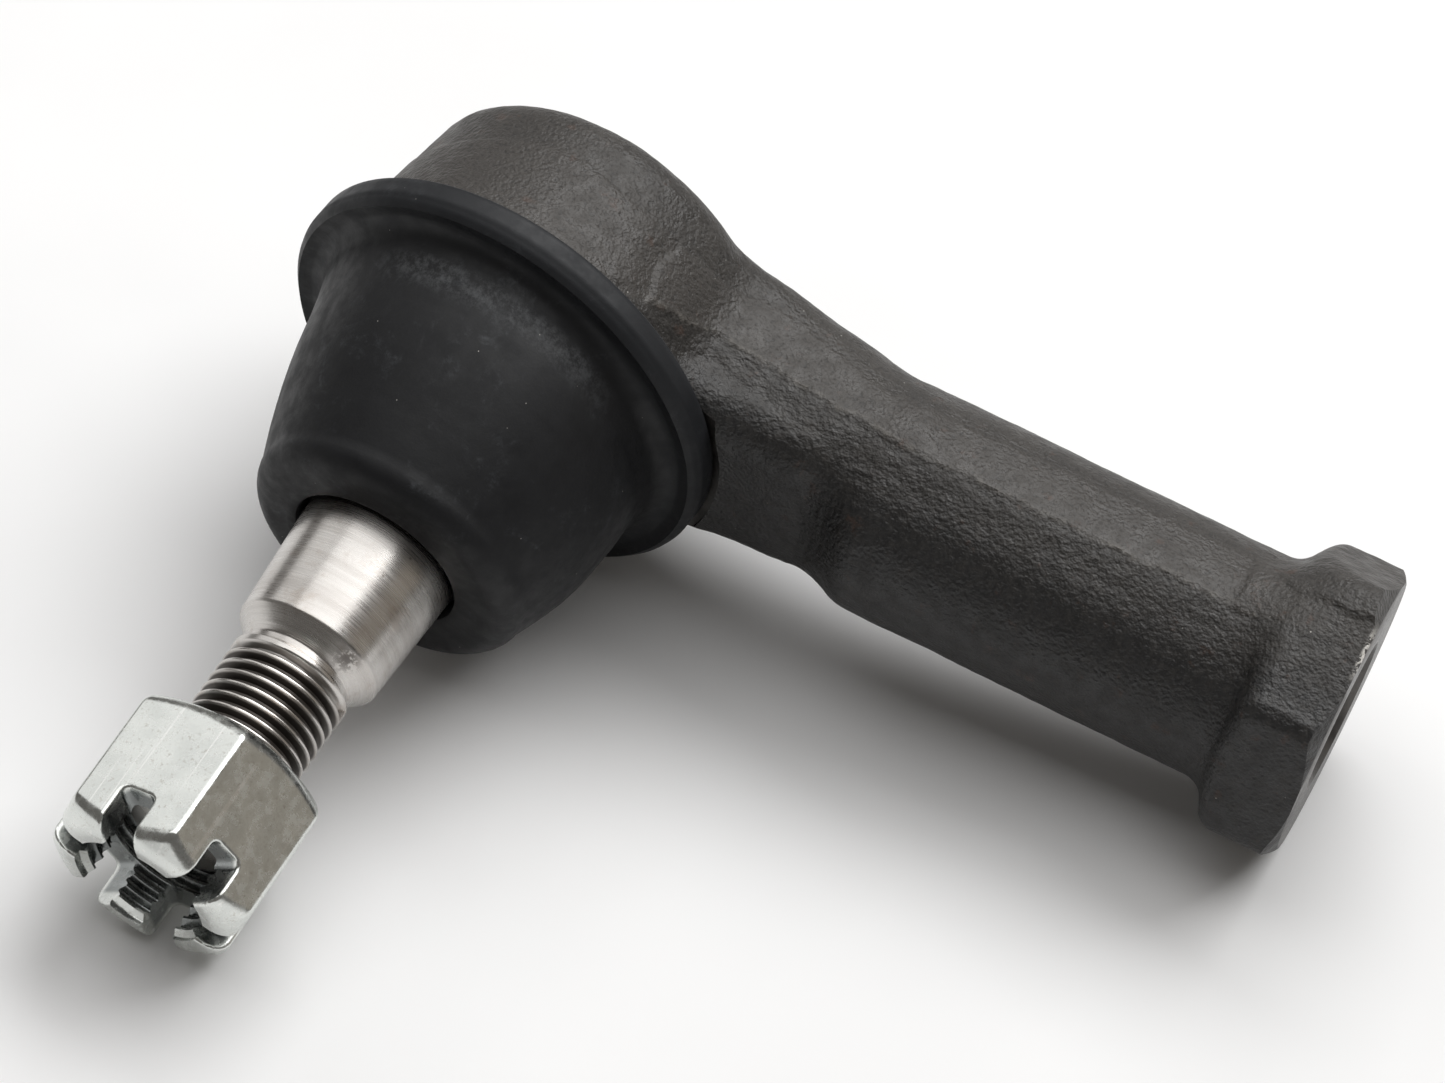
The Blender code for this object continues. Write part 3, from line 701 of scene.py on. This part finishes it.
# ---- boot ----
def boot_outline():
    """Rim, bell and rolled end outside; lip ring's groove and flange ring's room inside."""
    corner = (BELL_TOP_RADIUS - BOOT_END_ROUND, BOOT_END - BOOT_END_ROUND)
    taper, bell_start = BELL_TOP_RADIUS - BELL_BASE_RADIUS, RIM_FRONT + 0.9
    groove_radius, groove_end = BOOT_HOLE_RADIUS + 2.0, LIP_BACK + 3.6
    ring_room = BOOT_SEAT_RADIUS + RING_ROOM
    outer = [(RIM_RADIUS - 0.25, RIM_BACK), (RIM_RADIUS, RIM_BACK + 0.25),
             (RIM_RADIUS, RIM_BACK + 2.2), (RIM_RADIUS - 0.12, RIM_BACK + 2.32),
             (RIM_RADIUS - 0.15, RIM_FRONT - 0.7), (RIM_RADIUS - 0.75, RIM_FRONT)]
    outer += [(BELL_BASE_RADIUS + 2.3, RIM_FRONT - 0.3)]
    outer += arc((BELL_BASE_RADIUS + 2.1, RIM_FRONT + 1.7), 2.0, 270, 190, 7)
    for share in (0.12, 0.2, 0.3, 0.4, 0.5, 0.6, 0.7, 0.8, 0.9):
        bulge = 0.75 * math.sin(math.pi * share ** 1.15)
        outer.append((BELL_BASE_RADIUS + share * taper + bulge,
                      bell_start + share * (corner[1] - bell_start)))
    outer += arc(corner, BOOT_END_ROUND, 0, 84, 8)
    inner = [(BOOT_HOLE_RADIUS + 0.45, BOOT_END), (BOOT_HOLE_RADIUS + 0.1, BOOT_END - 0.15),
             (BOOT_HOLE_RADIUS, BOOT_END - 0.5), (BOOT_HOLE_RADIUS, groove_end),
             (groove_radius, groove_end), (groove_radius, LIP_BACK),
             (BELL_TOP_RADIUS - BOOT_WALL, LIP_BACK)]
    for share in (0.7, 0.4, 0.1):
        inner.append((BELL_BASE_RADIUS - BOOT_WALL + share * taper,
                      RIM_FRONT + share * (LIP_BACK - RIM_FRONT)))
    inner += [(BOOT_SEAT_RADIUS + 0.3, RIM_FRONT), (ring_room, RIM_FRONT - 0.4),
              (ring_room, RIM_BACK)]
    return filled_in(outer + inner, 0.6)


def bent_with_stud(points, start, end):
    """Turn points in socket axes about the ball centre, by a share that grows along the axis."""
    target = SOCKET.to_3x3().inverted() @ STUD.to_3x3() @ Vector((0, 0, 1))
    axis = Vector((0, 0, 1)).cross(target).normalized()
    angle = target.angle(Vector((0, 0, 1)))
    share = smooth_step(points[:, 2], start, end)
    return [Matrix.Rotation(angle * s, 3, axis) @ Vector(p) for p, s in zip(points, share)]


def dust_boot(rubber):
    """The boot, a little uneven, bent from the housing's axis to the stud's and blended."""
    boot = revolved("dust_boot_rubber", boot_outline(), 144, SOCKET)
    points = points_in(boot, SOCKET)
    radius = np.hypot(points[:, 0], points[:, 1])
    on_bell = smooth_step(points[:, 2], RIM_FRONT + 1, RIM_FRONT + 6)
    lumps = np.array([noise.noise(Vector(p) / 9.0) for p in points])
    swell = 1 + on_bell * BOOT_SWELL * lumps
    soft = points * np.stack([swell, swell, np.ones(len(points))], 1)
    soft[:, 0] += BOOT_LEAN * on_bell * (radius > BOOT_HOLE_RADIUS + 1.1)
    store(boot, "place", points)
    bent = bent_with_stud(soft, RIM_FRONT, LIP_BACK - 1.0)
    place = scaled(SOCKET)
    for vert, point in zip(boot.data.vertices, bent):
        vert.co = place @ point
    shade(boot, 50.0)
    boot.data.materials.append(rubber)
    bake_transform(boot)
    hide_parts("dust_boot")
    return boot


# ---- castle nut ----
def nut_distance(p):
    """Hexagon with turned ends and six slots, its edges rounded as plating leaves them."""
    x, y, height = p.T
    reach = np.hypot(x, y)
    top = NUT_BASE + NUT_HEIGHT
    floor = top - NUT_SLOT_DEPTH
    body = hexagon_distance(x, y, NUT_FLATS, NUT_CORNER_ROUND)
    # cones that take the corners off both ends, scaled to true distances
    base_cone = (reach - NUT_FLATS / 2 + 0.4 - 1.95 * (height - NUT_BASE)) / 2.19
    tip_cone = (reach - NUT_FLATS / 2 + 1.1 - 1.4 * (top - height)) / 1.72
    body = both(both(body, base_cone, 1.1), tip_cone, 0.6)
    body = both(both(body, NUT_BASE - height, 0.3), height - top, 0.5)
    for k in range(3):
        turn = math.radians(60 * k)
        across = np.abs(x * math.cos(turn) + y * math.sin(turn)) - NUT_SLOT_WIDTH / 2
        across += NUT_SLOT_ROUND
        below = floor - height + NUT_SLOT_ROUND
        slot = np.hypot(np.maximum(across, 0), np.maximum(below, 0)) - NUT_SLOT_ROUND
        slot += np.minimum(np.maximum(across, below), 0)
        body = both(body, -slot, 0.28)
    return body


def castle_nut(steel):
    top = NUT_BASE + NUT_HEIGHT
    side = NUT_FLATS / 2 / math.cos(math.pi / 6) + 0.6
    low, high = (-side, -side, NUT_BASE - 0.6), (side, side, top + 0.7)
    nut = netted("nut", nut_distance, low, high, NUT_GRID[1], NUT)
    major = THREAD_RADIUS + NUT_THREAD_PLAY + NUT_THREAD_DEPTH
    before = [(0.0, NUT_BASE - 1.0), (major + 1.1, NUT_BASE - 1.0), (major, NUT_BASE + 0.2)]
    after = [(major, top + 0.4), (major + 0.3, top + 1.0), (0.0, top + 1.0)]
    cut(nut, threaded("nut_bore", before, major, after, NUT_THREAD_DEPTH, THREAD_PITCH, 120, NUT))
    return dressed(nut, "nut", "castle_nut", NUT, [steel], 40.0)


# ---- cover plate ----
def cover_plate(steel):
    """The pressed plate behind the socket, dished round its middle."""
    back, front, rim = COVER_LEDGE - 1.8, COVER_LEDGE - 0.3, COVER_POCKET_RADIUS - 0.3
    outline = rounded_outline([
        (0.0, back - 0.8), (3.0, back - 0.8), (4.2, back - 1.1), (6.0, back - 1.1), (7.6, back),
        (rim, back), (rim, front), (7.6, front), (6.0, front - 1.1), (0.0, front - 1.1)],
        [0, 0.5, 0.5, 0.8, 0.8, 0.3, 0.15, 0.8, 0.8, 0])
    plate = revolved("cover", outline, 96, SOCKET)
    return dressed(plate, "housing", "cover_plate", SOCKET, [steel])


# ---- materials ----
class Recipe:
    """One node material; its patterns are laid out in millimetres.

    They follow the place stored at each point, or else the object's own coordinates.
    """

    def __init__(self, name, stored_place=True):
        self.mat = bpy.data.materials.new(name)
        self.mat.use_nodes = True
        self.tree = self.mat.node_tree
        self.shader = self.tree.nodes["Principled BSDF"]
        self.color = None
        if stored_place:
            place = self.node("ShaderNodeAttribute", attribute_name="place")
            self.place = place.outputs["Vector"]
        else:
            coordinates = self.node("ShaderNodeTexCoord").outputs["Object"]
            self.place = self.stretched(coordinates, (1 / MM, 1 / MM, 1 / MM))

    def node(self, kind, *feeds, **settings):
        """A node with its settings, and (input, value) pairs fed to it."""
        node = self.tree.nodes.new(kind)
        for key, value in settings.items():
            setattr(node, key, value)
        for key, value in feeds:
            self.feed(node.inputs[key], value)
        return node

    def feed(self, socket, value):
        if isinstance(value, bpy.types.NodeSocket):
            self.tree.links.new(value, socket)
        elif isinstance(value, tuple) and len(value) == 3 and socket.type == "RGBA":
            socket.default_value = (*value, 1.0)
        else:
            socket.default_value = value

    def stored(self, name):
        """A number that store keeps at each point."""
        return self.node("ShaderNodeAttribute", attribute_name=name).outputs["Fac"]

    def stretched(self, vector, scale):
        node = self.node("ShaderNodeMapping", ("Vector", vector), ("Scale", scale))
        return node.outputs["Vector"]

    def noise(self, size, detail=3.0, rough=0.5, stretch=None, twist=0.0):
        """Noise whose features are about size millimetres across."""
        place = self.place if stretch is None else self.stretched(self.place, stretch)
        node = self.node("ShaderNodeTexNoise", ("Vector", place), ("Scale", 1.0 / size),
                         ("Detail", detail), ("Roughness", rough), ("Distortion", twist))
        return node.outputs["Fac"]

    def specks(self, spacing, radius, gate):
        """Small round specks where the gate is open; the radius is a share of the spacing."""
        node = self.node("ShaderNodeTexVoronoi", ("Vector", self.place), ("Scale", 1.0 / spacing))
        return self.times(self.ramp(node.outputs["Distance"], 0.0, radius, 1.0, 0.0), gate)

    def ramp(self, value, low, high, to_low=0.0, to_high=1.0):
        """An eased step from to_low where value is low to to_high where it is high."""
        node = self.node("ShaderNodeMapRange", *enumerate((value, low, high, to_low, to_high)),
                         interpolation_type="SMOOTHSTEP")
        return node.outputs["Result"]

    def spread(self, noise, to_low=0.0, to_high=1.0):
        """Noise, which keeps near its middle, spread out between two values."""
        return self.ramp(noise, 0.3, 0.7, to_low, to_high)

    def math(self, operation, a, b=0.0):
        return self.node("ShaderNodeMath", (0, a), (1, b), operation=operation).outputs[0]

    def times(self, value, *others):
        for other in others:
            value = self.math("MULTIPLY", value, other)
        return value

    def mix(self, share, a, b):
        """From colour a to colour b."""
        node = self.node("ShaderNodeMix", ("Factor", share), (6, a), (7, b), data_type="RGBA")
        return node.outputs[2]

    def coat(self, share, tint):
        """Cover a share of the colour so far with another."""
        self.color = self.mix(share, self.color, tint)

    def coordinate(self, axis):
        return self.node("ShaderNodeSeparateXYZ", (0, self.place)).outputs[axis]

    def reach(self):
        """Distance from the Z axis."""
        squares = [self.times(self.coordinate(k), self.coordinate(k)) for k in (0, 1)]
        return self.math("SQRT", self.math("ADD", *squares))

    def near(self, place, radius):
        """1 at a place, fading to 0 at the radius round it."""
        node = self.node("ShaderNodeVectorMath", (0, self.place), (1, place),
                         operation="DISTANCE")
        return self.ramp(node.outputs["Value"], radius, 0.25 * radius)

    def bump(self, height, strength, distance_mm, below=None):
        """A normal bumped by height, on top of the bumps below it."""
        node = self.node("ShaderNodeBump", ("Strength", strength), ("Height", height),
                         ("Distance", distance_mm * MM))
        if below is not None:
            self.feed(node.inputs["Normal"], below)
        return node.outputs["Normal"]

    def done(self, roughness, metallic, normal, specular=0.5):
        looks = {"Base Color": self.color, "Roughness": roughness, "Metallic": metallic,
                 "Specular IOR Level": specular}
        if normal is not None:
            looks["Normal"] = normal
        for name, value in looks.items():
            self.feed(self.shader.inputs[name], value)
        return self.mat


def forged_steel():
    r = Recipe("forged_steel_skin")
    r.color = r.mix(r.ramp(r.noise(6.0, 4.0, 0.6), 0.35, 0.65), (0.029, 0.026, 0.0232),
                    (0.040, 0.036, 0.032))
    # painted light and shade down the arm: the trimmed land is painted lighter as a sheen, and the arm below it is
    # painted darker as shade, darkest on its side
    r.coat(r.times(r.stored("trimmed"), 0.4), (0.053, 0.047, 0.042))
    r.coat(r.times(r.stored("painted_shade_below_land"), 0.6), (0.0175, 0.016, 0.0147))
    r.coat(r.times(r.stored("painted_shade_side"), 0.85), (0.0115, 0.0115, 0.012))
    # light grain, dark hollows between the pebbles, and rust in patches
    grain = r.ramp(r.noise(0.8, 5.0, 0.65), 0.4, 0.78, 0.0, 0.45)
    r.coat(grain, (0.062, 0.056, 0.05))
    pebbles = r.noise(0.42, 1.5, 0.5)
    r.coat(r.ramp(pebbles, 0.3, 0.46, 0.55, 0.0), (0.012, 0.011, 0.010))
    rust = r.ramp(r.noise(2.6, 5.0, 0.7), 0.6, 0.7, 0.0, 0.4)
    r.coat(rust, (0.075, 0.038, 0.024))
    # a painted highlight along the burr, broken up by noise; bare metal in nicks and at a worn spot on the
    # hexagon's end
    ridge = r.times(r.stored("ridge"), r.ramp(r.noise(1.2, 4.0, 0.7), 0.42, 0.62), 0.6)
    r.coat(ridge, (0.15, 0.14, 0.125))
    nicks = r.specks(1.9, 0.06, r.ramp(r.noise(4.0, 2.0), 0.55, 0.57))
    worn = r.times(r.near((ARM_LENGTH, -1.6, 13.0), 3.6),
                   r.ramp(r.coordinate(0), ARM_LENGTH - 0.55, ARM_LENGTH - 0.2),
                   r.ramp(r.noise(0.7, 4.0, 0.7), 0.42, 0.5))
    r.coat(r.math("MAXIMUM", nicks, worn), (0.6, 0.58, 0.54))
    normal = r.bump(pebbles, 0.85, 0.22)
    normal = r.bump(r.noise(0.16, 2.0, 0.6), 0.4, 0.06, normal)
    return r.done(r.spread(r.noise(1.6, 4.0), 0.42, 0.58), 0.0, normal)


def machined_steel():
    r = Recipe("machined_bore_steel")
    rings = r.noise(0.25, 2.0)
    r.color = r.mix(r.spread(r.noise(3.0, 4.0)), (0.055, 0.052, 0.05), (0.11, 0.104, 0.098))
    return r.done(r.spread(rings, 0.32, 0.48), 0.7, r.bump(rings, 0.25, 0.03))


def turned_steel():
    r = Recipe("turned_stud_steel")
    marks = r.noise(0.09, 1.0, 0.5, stretch=(0.012, 0.012, 1.0))
    wide = r.noise(1.6, 3.0, 0.6, stretch=(0.08, 0.08, 1.0))
    height = r.coordinate(2)
    # the thread below its crests, which gets painted shade and more roughness
    groove = r.times(r.ramp(r.reach(), THREAD_RADIUS - 0.30, THREAD_RADIUS - 0.03, 1.0, 0.0),
                     r.ramp(height, UNDERCUT_END + 0.2, UNDERCUT_END + 1.6),
                     r.ramp(height, STUD_TIP - 0.3, STUD_TIP - 0.7))
    r.color = r.mix(r.spread(wide), (0.50, 0.475, 0.45), (0.62, 0.60, 0.575))
    stain = r.ramp(r.noise(3.5, 4.0, 0.65), 0.52, 0.7, 0.0, 0.4)
    r.coat(stain, (0.36, 0.30, 0.25))
    pits = r.specks(1.9, 0.11, r.ramp(r.noise(4.0, 2.0), 0.55, 0.6))
    r.coat(r.times(pits, 0.7), (0.12, 0.09, 0.075))
    # painted shade in the thread's grooves
    r.coat(r.times(groove, 0.93), (0.045, 0.038, 0.033))
    # a scraped spot on the chamfer above the thread
    scrape = r.times(r.near((4.9, 5.1, 42.2), 2.2), r.ramp(r.noise(0.6, 4.0, 0.7), 0.44, 0.52))
    r.coat(r.times(scrape, 0.8), (0.05, 0.04, 0.035))
    roughness = r.math("ADD", r.spread(marks, 0.24, 0.32), r.times(groove, 0.15))
    normal = r.bump(marks, 0.16, 0.02)
    normal = r.bump(r.noise(0.8, 4.0, 0.6), 0.1, 0.05, normal)
    return r.done(roughness, 1.0, normal)


def zinc_plate():
    r = Recipe("zinc_plated_nut")
    r.color = r.mix(r.spread(r.noise(2.2, 4.0, 0.6)), (0.66, 0.68, 0.655), (0.76, 0.78, 0.75))
    spots = r.ramp(r.noise(0.38, 4.0, 0.7), 0.57, 0.66, 0.0, 0.45)
    r.coat(spots, (0.42, 0.39, 0.34))
    lines = r.ramp(r.noise(0.5, 1.0, 0.5, stretch=(1.0, 1.0, 0.012)), 0.68, 0.72, 0.0, 0.5)
    r.coat(lines, (0.9, 0.9, 0.88))
    # painted shade inside the flats, in the slots and the bore, but not on the ends of the fingers
    half, top = NUT_FLATS / 2, NUT_BASE + NUT_HEIGHT
    inside = r.times(r.ramp(r.reach(), half - 0.25, half - 0.8),
                     r.ramp(r.coordinate(2), top - 1.1, top - 1.7), 0.75)
    r.coat(inside, (0.17, 0.185, 0.19))
    normal = r.bump(r.noise(0.35, 2.0, 0.5, stretch=(1.0, 1.0, 0.03)), 0.06, 0.03)
    normal = r.bump(r.noise(0.6, 3.0), 0.16, 0.08, normal)
    return r.done(r.spread(r.noise(1.1, 4.0, 0.6), 0.18, 0.32), 1.0, normal)


def boot_rubber():
    r = Recipe("boot_rubber_skin")
    height, side = r.coordinate(2), r.coordinate(1)
    smudge = r.times(r.ramp(r.noise(7.0, 5.0, 0.7, twist=1.2), 0.5, 0.72),
                     r.ramp(r.noise(0.9, 5.0, 0.75), 0.42, 0.72), 0.75)
    r.color = r.mix(smudge, (0.0075, 0.0078, 0.009), (0.06, 0.064, 0.07))
    # painted sheen: the rim and flange a little lighter and bluer
    rim = r.times(r.ramp(height, RIM_FRONT + 0.3, RIM_FRONT - 0.4), 0.22)
    r.coat(rim, (0.035, 0.039, 0.045))
    # a scuffed patch on the bell, above the rim
    scuff = r.times(r.ramp(height, 9.2, 10.4), r.ramp(height, 13.5, 11.0),
                    r.ramp(side, 11.0, 17.5), r.ramp(r.noise(1.1, 6.0, 0.8), 0.40, 0.68), 0.6)
    r.coat(scuff, (0.12, 0.125, 0.13))
    specks = r.specks(1.5, 0.055, r.ramp(r.noise(2.0, 1.0), 0.54, 0.56))
    r.coat(specks, (0.5, 0.48, 0.45))
    roughness = r.spread(r.noise(2.2, 5.0, 0.65), 0.46, 0.64)
    normal = r.bump(r.noise(0.3, 4.0, 0.65), 0.22, 0.06)
    normal = r.bump(r.noise(5.0, 3.0, 0.5), 0.15, 0.6, normal)
    return r.done(roughness, 0.0, normal, 0.32)


def cover_steel():
    r = Recipe("cover_plate_steel")
    r.color = r.mix(r.spread(r.noise(2.2, 5.0, 0.65)), (0.060, 0.058, 0.055),
                    (0.095, 0.091, 0.086))
    rub = r.ramp(r.noise(0.35, 3.0, 0.6, stretch=(1.0, 0.12, 1.0)), 0.58, 0.72, 0.0, 0.5)
    r.coat(rub, (0.2, 0.19, 0.18))
    rust = r.ramp(r.noise(1.5, 5.0, 0.7), 0.62, 0.7, 0.0, 0.4)
    r.coat(rust, (0.09, 0.05, 0.032))
    return r.done(r.spread(r.noise(1.0, 4.0), 0.36, 0.5), 0.6,
                  r.bump(r.noise(0.45, 4.0), 0.25, 0.05))


def inner_steel():
    r = Recipe("spring_steel_strip", stored_place=False)
    drawn = r.noise(0.4, 3.0)
    r.color = r.mix(r.spread(r.noise(2.0, 3.0)), (0.19, 0.19, 0.2), (0.3, 0.3, 0.31))
    return r.done(r.spread(drawn, 0.28, 0.42), 1.0, r.bump(drawn, 0.1, 0.02))


def acetal():
    r = Recipe("acetal_seat", stored_place=False)
    r.color = r.mix(r.spread(r.noise(2.5, 3.0)), (0.72, 0.71, 0.66), (0.82, 0.81, 0.77))
    return r.done(r.spread(r.noise(0.8, 3.0), 0.35, 0.5), 0.0,
                  r.bump(r.noise(0.3, 3.0), 0.08, 0.03))


# ---- camera, floor and light ----
CAMERA_PLACE = (106.27, -305.06, 459.70)  # part axes
CAMERA_AZIMUTH, CAMERA_ELEVATION, CAMERA_ROLL = 15.431, 56.552, -12.936
CAMERA_LENS, CAMERA_SENSOR = 149.48, 36.0
FLOOR_REACH = 6.0  # metres from the part to each edge
LIGHTS_AIM = (0, 0, 0.02)


def add_camera():
    azimuth, elevation, roll = (math.radians(a) for a in
                                (CAMERA_AZIMUTH, CAMERA_ELEVATION, CAMERA_ROLL))
    back = Vector((math.sin(azimuth) * math.cos(elevation),
                   -math.cos(azimuth) * math.cos(elevation), math.sin(elevation)))
    level = (-back).cross(Vector((0, 0, 1))).normalized()
    down = (-back).cross(level)
    right = math.cos(roll) * level + math.sin(roll) * down
    below = -math.sin(roll) * level + math.cos(roll) * down
    turn = Matrix((right, -below, back)).transposed().to_4x4()
    data = bpy.data.cameras.new("camera")
    data.lens, data.sensor_width = CAMERA_LENS, CAMERA_SENSOR
    data.clip_start, data.clip_end = 0.01, 20.0
    camera = bpy.data.objects.new("camera", data)
    camera.matrix_world = PART @ Matrix.Translation(Vector(CAMERA_PLACE) * MM) @ turn
    bpy.context.scene.collection.objects.link(camera)
    bpy.context.scene.camera = camera


def add_floor():
    far = FLOOR_REACH
    verts = [(-far, -far, 0), (far, -far, 0), (far, far, 0), (-far, far, 0)]
    mesh = bpy.data.meshes.new("floor")
    mesh.from_pydata(verts, [], [(0, 1, 2, 3)])
    floor = bpy.data.objects.new("floor", mesh)
    bpy.context.scene.collection.objects.link(floor)
    r = Recipe("pale_floor", stored_place=False)
    r.color = r.mix(r.spread(r.noise(60.0, 3.0)), (0.86, 0.86, 0.86), (0.9, 0.9, 0.9))
    mesh.materials.append(r.done(0.9, 0.0, None, 0.1))
    floor.visible_diffuse = False  # so that it doesn't light the part from below


def add_light(name, place, size, power, color=(1, 1, 1)):
    """A soft box that looks at the part; place and size in metres, power in watts."""
    data = bpy.data.lights.new(name, "AREA")
    data.shape = "RECTANGLE"
    data.size, data.size_y = size
    data.energy = power
    data.color = color
    light = bpy.data.objects.new(name, data)
    light.location = place
    aim = Vector(LIGHTS_AIM) - Vector(place)
    light.rotation_euler = aim.to_track_quat("-Z", "Y").to_euler()
    bpy.context.scene.collection.objects.link(light)


def add_lights():
    add_light("rear_box", (0.14, 0.49, 0.76), (1.05, 0.45), 7.4)
    add_light("top_box", (0.0, -0.02, 1.0), (1.3, 0.7), 4.2)
    add_light("left_box", (-0.72, 0.36, 0.60), (0.6, 0.6), 1.0)
    add_light("right_box", (0.86, 0.30, 0.34), (0.7, 0.55), 0.19, (1.0, 0.86, 0.68))
    world = bpy.data.worlds.new("studio")
    bpy.context.scene.world = world
    world.use_nodes = True
    background = world.node_tree.nodes["Background"]
    background.inputs["Color"].default_value = (1.0, 0.95, 0.9, 1)
    background.inputs["Strength"].default_value = 0.14
    bpy.context.scene.view_settings.view_transform = "Standard"


# ---- assembly ----
def dress_inner_nodes():
    """Materials for the pieces that show as they are in the CAD."""
    strip, seat = inner_steel(), acetal()
    looks = {"preload_spring": strip, "boot_base_ring": strip, "boot_lip_ring": strip,
             "rear_ball_seat": seat, "front_ball_seat": seat}
    for name, look in looks.items():
        node = frame["nodes"][name]
        node.data.materials.clear()
        node.data.materials.append(look)


def main():
    add_camera()
    add_floor()
    add_lights()
    housing(forged_steel(), machined_steel())
    cover_plate(cover_steel())
    ball_stud(turned_steel())
    dust_boot(boot_rubber())
    castle_nut(zinc_plate())
    dress_inner_nodes()


main()
